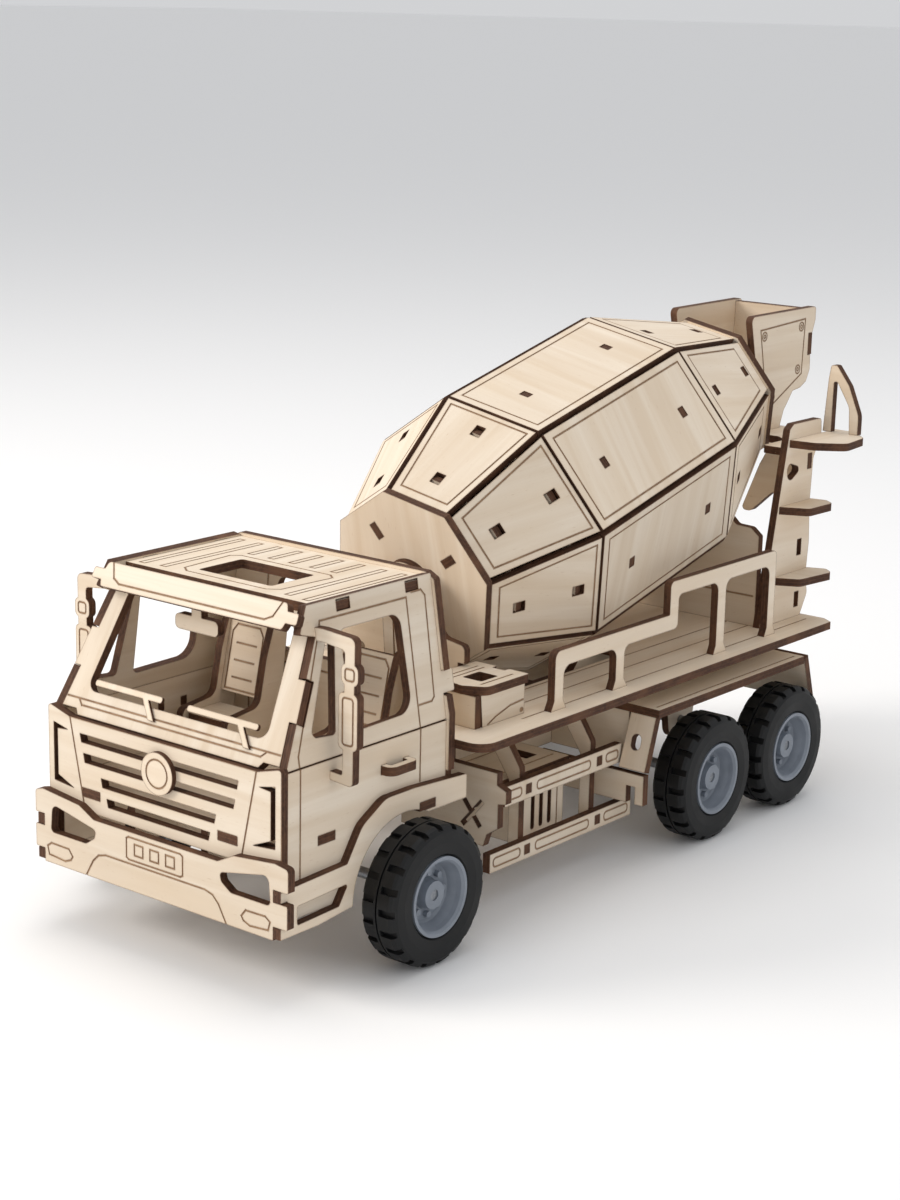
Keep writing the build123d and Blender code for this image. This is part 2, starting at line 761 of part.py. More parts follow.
def deck_box_lid():
    """Lid with a square opening, notches and plank lines."""
    corners = [
        (box_x0 - 2, box_y0 + 2, 1),
        (box_x1 - 9, box_y0 - 1.5, 1),
        (box_x1 + 1.5, box_y0 + 4, 5),
        (box_x1 + 1.5, box_y1, 0.8),
        (box_x0 + 18, box_y1, 0.5),
        (box_x0 + 18, box_y1 - 3.4, 0.5),
        (box_x0 + 11, box_y1 - 3.4, 0.5),
        (box_x0 + 11, box_y1, 0.5),
        (box_x0 - 1, box_y1, 0.8),
    ]
    hole = box2(53.0, -17.4, 63.6, -5.4, 0.8)
    lines = []
    for x in (46.5, 50.0, 66.5):
        lines += stroke([(x, box_y0 + 6), (x, box_y1 - 6)])
    return flat_plane(box_z) * sheet(outline(*corners), cuts=[hole], lines=lines)


# ---------------------------------------------------------------- drum stand and rear frame

stand_y = -0.4 - ply
stand_top = 14.0           # bearing plate margin above the drum shaft


def drum_stand():
    """Front bearing plate standing on the deck."""
    z_axis = axis_z(stand_y + ply / 2)
    right = [
        (39.6, deck_z),
        (39.6, 109.4),
        (43.4, 109.4, 1),
        (43.4, 117.6, 3),
        (30.0, 119.6, 6),
        (15.0, z_axis + stand_top, 6),
    ]
    face = outline(*right, *flip(right))
    plate = front_plane(stand_y) * sheet(face)
    return plate - shaft_hole()


def rear_towers():
    """Two tall side plates carrying the hopper and the ladder."""
    face = outline(
        (211.0, deck_z), (218.6, 127.0), (230.9, 191.0, 2), (234.5, 193.6, 1), (262.0, 193.6, 2),
        (263.0, 186.0, 6), (256.0, 173.0, 3), (254.8, 150.0, 8), (256.4, 128.0, 8), (254.8, 110.0, 8),
        (257.4, 100.0, 4), (251.0, deck_z),
    )
    hole = outline((230.2, 174.0, 3), (244.6, 169.4, 2), (230.8, 162.0, 4))
    cuts = [hole]
    for y, z, h in ((yoke_y + ply / 2, 172.0, 8.0), (246.5, 126.7, 8.4), (246.5, 98.4, 8.0)):
        cuts.append(slot(y, z, ply, h))
    return both(side_plane(tower_x) * sheet(face, cuts=cuts))


saddle_y = 212.5
yoke_y = 250.4


def rear_saddle():
    """Cross plate standing on the deck between the towers, hollowed round the drum."""
    half = tower_x - ply
    right = [(half, deck_z), (half, 137.0, 1), (58.0, 141.0, 3), (49.0, 141.4, 3), (44.0, 146.0)]
    face = outline(*right, *flip(right))
    lines = stroke([(-half + 2, 105.0), (half - 2, 105.0)])
    plate = front_plane(saddle_y) * sheet(face, lines=lines)
    cut = (plate - drum_sweep(run_gap)).solids()
    return sorted(cut, key=lambda part: part.volume)[-1]


def rear_yoke():
    """Two high brackets inside the towers, hollowed round the drum's rear end."""
    half = tower_x - ply
    under = shelf_z - ply
    face = outline(
        (27.6, 140.5, 4), (33.8, 140.5, 4), (46.0, 152.0, 3), (half, 157.0), (half, 168.0),
        (tower_x, 168.0), (tower_x, under), (41.5, under),
    )
    plate = front_plane(yoke_y) * sheet(face)
    return both(plate - drum_sweep(run_gap))


def hopper_shelf():
    """Flat shelf between the towers, open in front for the drum's rear end."""
    half = tower_x - ply
    right = [
        (48.0, 236.0, 2),
        (half, 236.0),
        (half, 262.0, 8),
        (40.0, 294.0, 4),
        (0.0, 294.0),
    ]
    left = flip(right[:-1])
    face = outline(*right, *left, (-48.0, 258.0, 6), (-40.0, 264.0, 3), (40.0, 264.0, 3), (48.0, 258.0, 6))
    cuts = []
    for s in (1, -1):
        cuts.append(slot(s * (hopper_half - ply / 2), 282.0, ply, 12.0))
    return flat_plane(shelf_z) * sheet(face, cuts=cuts)


def ladder_treads():
    """Top platform and two steps fixed to the outer face of the tower."""
    x = tower_x
    shapes = (
        (185.7, [(x, 231.3), (80.7, 233.2, 6), (94.0, 243.1, 6), (91.5, 264.2, 5), (79.0, 277.0, 3), (x, 277.0)]),
        (151.5, [(x, 224.4), (81.2, 231.3, 4), (82.0, 252.4, 3), (75.4, 257.3, 2), (x, 255.4)]),
        (114.1, [(x, 222.6), (79.2, 229.0, 4), (82.6, 254.6, 4), (76.3, 260.0, 2), (x, 256.0)]),
    )
    return [flat_plane(z) * sheet(outline(*pts)) for z, pts in shapes]


def ladder_handrail():
    """Upright loop standing on the platform."""
    z0 = 185.7
    face = outline(
        (64.6, z0), (66.6, 214.0, 10), (67.6, 221.0, 1.5), (71.2, 221.0, 1.5), (79.0, 211.0, 8), (85.4, 196.0, 10),
        (85.4, z0), (80.4, z0), (79.6, 200.0, 8), (71.8, 212.4, 1.5), (69.8, 212.4, 1.5), (69.6, z0),
    )
    return front_plane(268.0) * sheet(face)


# ---------------------------------------------------------------- hopper

hopper_wall_s = 205.5      # front bearing wall, measured along the drum axis


def on_axis(s, n):
    """Side view point at a distance along the drum axis and a height above it."""
    y = drum_y + s * cos(tilt) - n * sin(tilt)
    z = drum_z + s * sin(tilt) + n * cos(tilt)
    return y, z


hopper_wall_y = 313.4      # front face of the hopper's rear wall


def hopper_side_face():
    """Funnel side with the notched rear edge and the tail that drops through the shelf."""
    front_top = on_axis(hopper_wall_s - 0.5, 42.0)
    front_low = on_axis(hopper_wall_s - 0.5, -18.6)
    return outline(
        (front_top[0], front_top[1] + 0.8, 3),
        (length_rear, hopper_top, 2),
        (length_rear, 236.0, 1),
        (hopper_wall_y + ply, 229.2),
        (hopper_wall_y, 229.2),
        (hopper_wall_y, 217.2),
        (hopper_wall_y + ply - 1.0, 217.2),
        (hopper_wall_y + ply - 0.6, 209.0, 2),
        (313.5, 202.6, 2),
        (307.6, 199.7, 2),
        (299.9, 198.8, 2),
        (296.0, 194.0, 2),
        (291.6, 189.0, 2),
        (288.0, shelf_z),
        (288.0, 172.0, 2),
        (276.0, 172.0, 2),
        (276.0, shelf_z),
        (front_low[0], shelf_z),
        front_low,
    )


def hopper_sides():
    """Two funnel sides with an engraved panel and four engraved screw heads."""
    lines = stroke([(264.0, 235.0), (309.4, 237.4), (308.0, 207.5), (277.5, 192.6), (272.5, 197.0)], closed=True)
    for y, z in ((268.2, 231.4), (305.6, 233.4), (303.9, 210.2), (278.9, 197.6)):
        lines.append(Pos(y, z) * (Circle(2.6) - Circle(2.0)))
        lines.append(Pos(y, z) * (Circle(1.2) - Circle(0.6)))
    return both(side_plane(hopper_half) * sheet(hopper_side_face(), lines=lines))


def hopper_rear_wall():
    """Upright rear wall between the hopper sides."""
    half = hopper_half - ply
    face = outline((-half, 208.0), (half, 208.0), (half, 242.4), (-half, 242.4))
    tabs = box2(-hopper_half, 217.2 + tab_fit, hopper_half, 229.2 - tab_fit)
    return front_plane(hopper_wall_y) * sheet(face + tabs)


def hopper_floor():
    """Sloping chute floor between the hopper sides."""
    y0, z0, y1, z1 = 277.0, 187.4, 311.0, 209.8
    run = hypot(y1 - y0, z1 - z0)
    plane = Plane(
        origin=(0, y0, z0), x_dir=(1, 0, 0), z_dir=(0, -(z1 - z0) / run, (y1 - y0) / run)
    )
    half = hopper_half - ply
    return plane * sheet(box2(-half, 0, half, run))


def hopper_front_wall():
    """Sloping wall in front of the hopper that carries the rear end of the shaft."""
    half = hopper_half - ply
    face = outline((-half, -20.4), (half, -20.4), (half, 24.0, 4), (-half, 24.0, 4))
    plane = Plane(
        origin=(0, *on_axis(hopper_wall_s, 0)), x_dir=(1, 0, 0), z_dir=(0, -cos(tilt), -sin(tilt))
    )
    return plane * sheet(face) - shaft_hole()


# ---------------------------------------------------------------- drum

sides = 8
half_turn = 180 / sides
flat = cos(radians(half_turn))
spread = tan(radians(half_turn))
panel_gap = 0.06           # gap between neighbouring panel corners
ring_s = (-41.9, -12.4, 24.2, drum_mid - 24.1, drum_mid + 12.0, drum_mid + 60.0)
tab_w = 5.0


def cone(s0, a0, s1, a1):
    """Slope angle and length of a cone side between two stations."""
    return atan2(a1 - a0, s1 - s0), hypot(s1 - s0, a1 - a0)


def trim(angle):
    """Shortening of a panel where two slopes meet, so the inner corners just touch."""
    return ply * tan(abs(angle) / 2) + 0.04


def drum_panels(s0, a0, s1, a1, trim0, trim1, rings, marks):
    """Eight equal panels between two stations of the drum with slots for the ring tabs."""
    angle, length = cone(s0, a0, s1, a1)
    inset = ply / cos(angle)
    w0 = 2 * (a0 - inset) * spread - panel_gap
    w1 = 2 * (a1 - inset) * spread - panel_gap

    def half(u):
        return (w0 + (w1 - w0) * u / length) / 2

    u0, u1 = trim0, length - trim1
    face = outline((u0, -half(u0)), (u1, -half(u1)), (u1, half(u1)), (u0, half(u0)))
    lean = abs(ply * tan(angle))
    cuts = []
    for s in rings:
        near = (s - s0) / cos(angle)
        thick = ply / cos(angle)
        start = near - lean if angle > 0 else near
        cuts.append(
            box2(
                start - tab_fit, -tab_w / 2 - tab_fit,
                start + thick + lean + tab_fit, tab_w / 2 + tab_fit,
            )
        )
    m0, m1, e0, e1 = marks
    lines = stroke([(m0, -e0), (m1, -e1), (m1, e1), (m0, e0)], closed=True)
    piece = sheet(face, cuts=cuts, lines=lines)
    panels = []
    for k in range(sides):
        turn = drum_turn + 360 / sides * k
        place = Plane(
            origin=(a0, 0, s0), x_dir=(sin(angle), 0, cos(angle)), z_dir=(cos(angle), 0, -sin(angle))
        )
        panels.append(drum_frame * (Rot(0, 0, turn) * (place * piece)))
    return panels


def flats(radius):
    """Distance from the axis to the flats of an eight-sided ring."""
    return radius * flat


front_angle, _ = cone(-cone_front, flats(drum_R_front), 0, flats(drum_R))
rear_angle, _ = cone(drum_mid, flats(drum_R), drum_mid + cone_rear, flats(drum_R_rear))


def drum_front_panels():
    """Eight tapering panels of the front cone."""
    return drum_panels(
        -cone_front, flats(drum_R_front), 0, flats(drum_R), 0.0, trim(front_angle),
        ring_s[:2], (4.2, 56.0, 13.5, 22.4),
    )


def drum_mid_panels():
    """Eight straight panels of the middle."""
    mid = drum_mid / 2
    return drum_panels(
        0, flats(drum_R), drum_mid, flats(drum_R), trim(front_angle), trim(rear_angle),
        ring_s[2:4], (mid - 52.0, mid + 52.0, 22.3, 22.3),
    )


def drum_rear_panels():
    """Eight tapering panels of the rear cone."""
    return drum_panels(
        drum_mid, flats(drum_R), drum_mid + cone_rear, flats(drum_R_rear), trim(rear_angle), 0.0,
        ring_s[4:], (7.2, 71.2, 22.2, 12.7),
    )


def wall_inside(s):
    """Distance from the axis to the inner face of the drum wall at a station."""
    if s < 0:
        a = flats(drum_R) + s * tan(front_angle)
        return a - ply / cos(front_angle)
    if s <= drum_mid:
        return flats(drum_R) - ply
    a = flats(drum_R) + (s - drum_mid) * tan(rear_angle)
    return a - ply / cos(rear_angle)


def octagon(apothem):
    """Regular eight-sided face with flats facing the drum panels."""
    r = apothem / flat
    pts = []
    for k in range(sides):
        a = radians(drum_turn + half_turn + 360 / sides * k)
        pts.append((r * cos(a), r * sin(a)))
    return make_face(Polyline(*pts, close=True))


def rib_slots():
    """Four radial slots for the long ribs."""
    cuts = []
    for k in range(1, sides, 2):
        turn = drum_turn + 360 / sides * k
        cuts.append(Rot(0, 0, turn) * slot((rib_in + rib_out) / 2, 0, rib_out - rib_in, ply))
    return cuts


def drum_rings():
    """Eight-sided rings inside the drum, a tab through every panel."""
    rings = []
    for s in ring_s:
        near, far = wall_inside(s), wall_inside(s + ply)
        inner = min(near, far)
        face = octagon(inner - 0.05)
        skin = ply / cos(front_angle if s < 0 else rear_angle if s > drum_mid else 0)
        for k in range(sides):
            turn = drum_turn + 360 / sides * k
            reach = inner + skin - 0.3
            face = face + Rot(0, 0, turn) * Pos(reach / 2 + 10, 0) * Rectangle(reach - 20, tab_w)
        face = face - Circle(rib_in - 4)
        for cut in rib_slots():
            face = face - cut
        rings.append(drum_frame * Pos(0, 0, s) * extrude(face, ply))
    return rings


def drum_front_plate():
    """Closed front end of the drum."""
    face = octagon(flats(drum_R_front)) - Circle(shaft_r)
    for cut in rib_slots():
        face = face - cut
    return drum_frame * Pos(0, 0, -cone_front) * sheet(face)


def drum_rear_plate():
    """Rear end ring of the drum with a wide filling opening round the shaft spokes."""
    face = octagon(flats(drum_R_rear + 1.3)) - Circle(shaft_r)
    for k in range(4):
        turn = drum_turn + 90 * k
        hole = outline((12, -6, 3), (24, -14, 5), (33, -11, 4), (33, 11, 4), (24, 14, 5), (12, 6, 3))
        face = face - Rot(0, 0, turn) * hole
    return drum_frame * Pos(0, 0, drum_mid + cone_rear + ply) * sheet(face)


def drum_ribs():
    """Four long radial ribs through the rings, ending at the rear plate."""
    ribs = []
    s0, s1 = -cone_front - ply, drum_mid + cone_rear
    for k in range(1, sides, 2):
        turn = drum_turn + 360 / sides * k
        bar = Box(rib_out - rib_in, ply, s1 - s0, align=(Align.MIN, Align.CENTER, Align.MIN))
        ribs.append(drum_frame * Rot(0, 0, turn) * Pos(rib_in, 0, s0) * bar)
    return ribs


def drum_boss():
    """Round washer in front of the drum."""
    face = Circle(13.6) - Circle(shaft_r)
    return drum_frame * Pos(0, 0, -cone_front - ply) * sheet(face)


shaft_front = -78.0
shaft_rear = 211.0


def drum_shaft():
    """Round dowel the drum turns with."""
    length = shaft_rear - shaft_front
    rod = Cylinder(shaft_r, length, align=(Align.CENTER, Align.CENTER, Align.MIN))
    return drum_frame * Pos(0, 0, shaft_front) * rod


# ---------------------------------------------------------------- chassis

rail_in = 20.0
cab_under = cab_floor_z - ply
deck_under = deck_z - ply
axles = (front_axle_y, middle_axle_y, rear_axle_y)


def chassis_rails():
    """Two long upright frame plates with a lobe round every axle hole."""
    def lobe(y, z):
        return [(y - 14, z, 6), (y - 10, tyre_r - 8, 7), (y + 10, tyre_r - 8, 7), (y + 14, z, 6)]

    pts = [(cab_front, 46.0, 3), *lobe(front_axle_y, 46.0), *lobe(middle_axle_y, 46.0)]
    pts += [*lobe(rear_axle_y, 46.0), (deck_rear - 8, 46.0), (deck_rear - 3, 60.0), (deck_rear - 3, deck_under)]
    pts += [(112.0, deck_under), (107.0, 79.5, 3), (58.0, 79.5, 3), (53.0, deck_under)]
    pts += [(deck_front, deck_under), (deck_front, cab_under), (cab_front, cab_under)]
    face = outline(*pts)
    cuts = [Pos(y, tyre_r) * Circle(axle_r + turn_fit) for y in axles]
    for y in (-115.0, -45.0, -5.0, 30.0, 90.0, 171.0, 232.0):
        z = 54.3 if y < -40 else 63.0
        cuts.append(Pos(y, z) * Circle(3.5))
    return both(side_plane(rail_in + ply) * sheet(face, cuts=cuts))


def chassis_crossmembers():
    """Upright plates between the two frame plates."""
    members = []
    for y, z1 in ((-125.0, cab_under), (-58.0, cab_under), (10.0, deck_under), (75.0, 79.5), (160.0, deck_under),
                  (236.0, deck_under)):
        face = box2(-rail_in, 47.0, rail_in, z1) - Pos(0, (47.0 + z1) / 2) * Circle(5.0)
        members.append(front_plane(y) * sheet(face))
    return members


# ---------------------------------------------------------------- side guards, boxes, mudguards

strut_y = (9.9, 65.4)


def guard_bar(y0, y1, z0, z1):
    """Long guard bar with two tab holes and engraved pockets."""
    face = outline((y0, z0), (y1, z0), (y1, z1), (y0, z1))
    zc = (z0 + z1) / 2
    cuts = [slot(y + ply / 2, zc, ply, 4.4) for y in strut_y]
    lines = []
    for a, b in ((y0 + 2.2, strut_y[0] - 3.0), (strut_y[0] + 8.0, strut_y[1] - 5.0), (strut_y[1] + 7.0, y1 - 2.4)):
        pocket = box2(a, zc - 2.5, b, zc + 2.5, 2.2)
        lines += ring_line(pocket)
    return both(side_plane(guard_x) * sheet(face, cuts=cuts, lines=lines))


def guard_struts():
    """Slanted plates from the deck down to both guard bars."""
    x0 = guard_x - ply
    face = outline(
        (38.0, deck_under), (50.0, deck_under), (x0, 61.0, 3), (x0, 54.2), (guard_x, 54.2), (guard_x, 49.8),
        (x0, 49.8), (x0, 24.7), (guard_x, 24.7), (guard_x, 20.3), (x0, 20.3), (x0, 16.0), (60.0, 16.0), (60.0, 54.0, 3),
    )
    pieces = []
    for y in strut_y:
        pieces += both(front_plane(y) * sheet(face))
    return pieces


box_front_y = -24.0
lid_z = 54.6


def battery_box():
    """Battery box front panel with a crossed cut and the slotted lid behind it."""
    x0 = rail_in + ply
    face = outline(
        (x0, 34.0), (72.0, 34.0), (74.0, 40.0), (80.0, 44.0), (80.0, 55.6), (84.4, 56.4), (84.4, 62.4),
        (79.2, 64.4), (79.2, 70.0), (52.0, 70.0), (52.0, deck_under), (x0, deck_under),
    )
    cross = []
    for turn, length in ((49.5, 17.2), (-50.5, 14.8)):
        cross.append(Pos(65.4, 48.4) * Rot(0, 0, turn) * Rectangle(length, 2.4))
    panel = front_plane(box_front_y) * sheet(face, cuts=cross)
    lid_face = box2(x0, box_front_y + ply, 59.0, 58.0)
    hole = box2(33.0, 40.0, 47.0, 48.0)
    lines = []
    for x in (29.0, 52.0):
        lines += stroke([(x, box_front_y + 8), (x, 54.0)])
    lid = flat_plane(lid_z) * sheet(lid_face, cuts=[hole], lines=lines)
    return [panel, lid]


def tool_box():
    """Box under the lid, its outer side with three upright slots."""
    z0, z1 = 18.0, lid_z - ply
    x0, x1 = rail_in + ply, 56.0
    inset = 0.4
    side = box2(22.0, z0, 58.0, z1)
    cuts = [box2(y - 1.3, z0 + 5, y + 1.3, z1 - 5, 1.2) for y in (34.0, 40.5, 47.0)]
    lines = stroke([(28.0, z0 + 2), (53.0, z0 + 2), (53.0, z1 - 2)])
    walls = [side_plane(x1) * sheet(side, cuts=cuts, lines=lines)]
    for y in (22.0, 54.0):
        walls.append(front_plane(y + inset) * sheet(box2(x0, z0 + inset, x1 - ply, z1 - inset)))
    bottom = box2(x0 + inset, 26.0 + inset, x1 - ply, 54.0 + inset)
    walls.append(flat_plane(z0 + ply + 2 * inset) * sheet(bottom))
    return walls


guard_shelf_z = 76.0
shelf_y0, shelf_y1 = 89.0, 222.0
shelf_x = 88.5             # outer edge of the mudguard shelves
flap_lean = 14.9


def mudguard_shelves():
    """Flat shelves over the rear wheels, fixed to the frame plates."""
    x0 = rail_in + ply
    face = outline(
        (x0, shelf_y0), (shelf_x, shelf_y0), (shelf_x, shelf_y1), (x0, shelf_y1)
    )
    lines = stroke([(84.5, shelf_y0 + 4), (84.5, shelf_y1 - 4)])
    lines += stroke([(60.0, shelf_y0 + 4), (60.0, shelf_y1 - 4)])
    return both(flat_plane(guard_shelf_z) * sheet(face, lines=lines))


def flap_plane(y, z, lean):
    """Drawing plane of a flap: origin at its top edge, leaning forward at the bottom."""
    a = radians(lean)
    return Plane(origin=(0, y, z), x_dir=(1, 0, 0), z_dir=(0, -cos(a), sin(a)))


def mudguard_front_flaps():
    """Slanted front flaps, the upright plates inside them and the splash plates below."""
    under = guard_shelf_z - ply
    a = radians(flap_lean)
    upper = outline((72.1, 0), (86.7, 0), (86.0, -27.2), (70.9, -27.2))
    oval = box2(75.5, -17.6, 80.9, -9.8, 2.6)
    flap = flap_plane(shelf_y0 + 0.2, under - 0.02, flap_lean) * sheet(upper, cuts=[oval])
    inner = front_plane(shelf_y0 + 1.4) * sheet(box2(rail_in + ply, 46.0, 70.4, under))
    low_y = shelf_y0 + 0.2 - 27.2 * sin(a) - 1.4
    low_z = under - 27.2 * cos(a) - 1.3
    lower = outline(
        (rail_in + ply, low_z), (86.6, low_z), (86.6, 29.4), (81.8, 29.4), (81.8, 38.0), (76.8, 38.0),
        (76.8, 29.4), (rail_in + ply, 29.4),
    )
    splash = front_plane(low_y) * sheet(lower)
    return both(flap) + both(inner) + both(splash)


def mudguard_rear_flaps():
    """Slanted flaps behind the rear wheels."""
    a = radians(28.0)
    inner = rail_in + ply
    plane = Plane(origin=(0, shelf_y1 + 0.02, guard_shelf_z), x_dir=(-1, 0, 0), z_dir=(0, cos(a), sin(a)))
    face = outline((-shelf_x, 0), (-inner, 0), (-inner, -30.0), (-85.0, -30.0))
    shift = Pos(0, ply * cos(a), 0)
    return both(shift * (plane * sheet(face)))


# ---------------------------------------------------------------- wheels

bead_r = rim_r - 1.5       # tyre bore, seated on the rim barrel
lugs = 20
lug_gap = 3.2
lug_depth = 2.2


def tyre():
    """One tyre round the X axis with staggered tread grooves."""
    w = tyre_w / 2
    profile = [
        (bead_r, -w + 1.4), (rim_r + 0.2, -w + 1.4), (rim_r + 1.2, -w + 0.3), (24.0, -w), (28.4, -w + 0.3),
        (tyre_r - 0.8, -w + 1.6), (tyre_r, -w + 3.0), (tyre_r, w - 3.0), (tyre_r - 0.8, w - 1.6), (28.4, w - 0.3),
        (24.0, w), (rim_r + 1.2, w - 0.3), (rim_r + 0.2, w - 1.4), (bead_r, w - 1.4),
    ]
    face = Plane.XZ * make_face(Polyline(*profile, close=True))
    body = revolve(face, Axis.Z)
    groove = Pos(tyre_r - lug_depth / 2 + 0.5, 0, w - 3.8) * Box(lug_depth + 1.0, lug_gap, 9.0)
    step = 360 / lugs
    cuts = []
    for i in range(lugs):
        cuts.append(Rot(0, 0, step * i) * groove)
        cuts.append(Rot(0, 0, step * (i + 0.5)) * mirror(groove, about=Plane.XY))
    centre = Cylinder(tyre_r + 1, 0.9) - Cylinder(tyre_r - 1.2, 0.9)
    return Rot(0, 90, 0) * (body - cuts - centre)


def rim():
    """One deep wheel rim with its hub and nuts, outer side toward +X."""
    w = tyre_w / 2
    profile = [
        (axle_r, -6.4), (5.0, -6.4), (5.0, -2.0), (14.0, -2.0), (15.0, -w + 0.4), (rim_r, -w + 0.4),
        (rim_r, -w + 1.4), (bead_r, -w + 1.4), (bead_r, w - 1.4), (rim_r, w - 1.4), (rim_r, w - 0.2),
        (16.4, w - 0.2), (15.4, w - 1.4), (14.8, w - 3.6), (13.2, 2.2), (12.0, 1.0), (7.2, 1.0), (6.6, 2.6),
        (6.2, 6.2), (axle_r, 6.2),
    ]
    face = Plane.XZ * make_face(Polyline(*profile, close=True))
    body = revolve(face, Axis.Z)
    for i in range(8):
        nut = Pos(0, 0, 1.0) * Cylinder(1.4, 2.2, align=(Align.CENTER, Align.CENTER, Align.MIN))
        body = body + Rot(0, 0, 45 * i) * Pos(9.6, 0, 0) * nut
    return Rot(0, 90, 0) * body


tyre_one = tyre()
rim_one = rim()


def wheel_pair(shape, y):
    """The shape on both ends of an axle."""
    return both(Pos(wheel_x - tyre_w / 2, y, tyre_r) * shape)


def axle(y):
    """Axle rod ending inside the wheel hubs."""
    length = 2 * (wheel_x - tyre_w / 2 + 5.6)
    return Pos(0, y, tyre_r) * Rot(0, 90, 0) * Cylinder(axle_r, length)


# ---------------------------------------------------------------- one file per piece

save("cab_lower_sides", cab_lower_sides())
save("cab_upper_sides", cab_upper_sides())
save("cab_rear_wall", cab_rear_wall())
save("cab_roof", cab_roof())
save("cab_floor", cab_floor())
save("windscreen_frame", windscreen_frame())
save("sun_visor", sun_visor())
save("grille_panel", grille_panel())
save("grille_badge", grille_badge())
save("bumper", bumper())
save("fender_overlays", fender_overlays())
save("door_handles", door_handles())
save("side_mirrors", side_mirrors())
save("wipers", wipers())
save("interior_mirror", interior_mirror())
save("seat_backs", seat_backs())
save("seat_sides", seat_sides())
save("seat_cushions", seat_cushions())
save("deck", deck())
save("side_rails", side_rails())
save("deck_box_walls", deck_box_walls())
save("deck_box_lid", deck_box_lid())
save("drum_stand", drum_stand())
save("rear_towers", rear_towers())
save("rear_saddle", rear_saddle())
save("rear_yoke", rear_yoke())
save("hopper_shelf", hopper_shelf())
save("ladder_treads", ladder_treads())
save("ladder_handrail", ladder_handrail())
save("hopper_sides", hopper_sides())
save("hopper_rear_wall", hopper_rear_wall())
save("hopper_floor", hopper_floor())
save("hopper_front_wall", hopper_front_wall())
save("drum_front_plate", drum_front_plate())
save("drum_rear_plate", drum_rear_plate())
save("drum_rings", drum_rings())
save("drum_front_panels", drum_front_panels())
save("drum_mid_panels", drum_mid_panels())
save("drum_rear_panels", drum_rear_panels())
save("drum_ribs", drum_ribs())
save("drum_boss", drum_boss())
save("drum_shaft", drum_shaft())
save("chassis_rails", chassis_rails())
save("chassis_crossmembers", chassis_crossmembers())
save("guard_upper_bars", guard_bar(-6.0, 85.3, 47.2, 56.8))
save("guard_lower_bars", guard_bar(-16.0, 94.9, 17.9, 27.1))
save("guard_struts", guard_struts())
save("battery_box", battery_box())
save("tool_box", tool_box())
save("mudguard_shelves", mudguard_shelves())
save("mudguard_flaps", mudguard_front_flaps() + mudguard_rear_flaps())
for name, y in zip(("front", "middle", "rear"), axles):
    save(f"{name}_tyres", wheel_pair(tyre_one, y))
    save(f"{name}_rims", wheel_pair(rim_one, y))
    save(f"{name}_axle", axle(y))
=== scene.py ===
import math

import bpy
import numpy as np
from mathutils import Matrix, Vector

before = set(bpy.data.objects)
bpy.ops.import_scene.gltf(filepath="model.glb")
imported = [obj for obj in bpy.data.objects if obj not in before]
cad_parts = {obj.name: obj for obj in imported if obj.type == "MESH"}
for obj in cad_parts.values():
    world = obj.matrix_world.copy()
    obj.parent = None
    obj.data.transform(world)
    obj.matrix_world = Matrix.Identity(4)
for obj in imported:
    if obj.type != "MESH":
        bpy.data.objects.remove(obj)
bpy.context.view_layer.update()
scene = bpy.context.scene

# Lengths are in metres.
PLY = 0.004               # plate thickness
GROOVE = 0.00042          # deepest engraved line
FLAT = 0.00003            # tolerance for a face lying on a plate's outer plane
ALIGNED = 0.9995          # cosine above which two normals count as parallel
SAME_POINT = 1e-6         # vertices closer than this are one point
SAME_PLANE = 5e-5         # polygons whose planes lie closer than this are one patch
NORMAL_STEPS = 500        # rounding of a normal's parts when planes are compared
LARGEST = 24              # polygons tried when a plate's main direction is looked for
SMALL_POLYGON = 2e-6      # polygons below this area don't start a patch, square metres
FACE_AREA = 6e-5          # a side patch is a plate face from this area, square metres
FACE_WIDTH = 0.0055       # and from this mean width
TURNED_SHARE = 0.12       # share of plates cut with the grain the other way
SHIFT = 40.0              # range of the random shift of a plate's figure
MOST_PASSES = 400         # limit of the search for connected patches
BEVEL_SAMPLES = 6

AXIS_X = np.array([1.0, 0.0, 0.0])
AXIS_Y = np.array([0.0, 1.0, 0.0])

ROUND_PARTS = ("tyres", "rims", "axle", "drum_shaft")
WOOD = [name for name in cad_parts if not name.endswith(ROUND_PARTS)]
WHEELS = ("front", "middle", "rear")
FACE, EDGE, LINE = 0, 1, 2    # material slots of a plate


# ---------------------------------------------------------------- node helpers

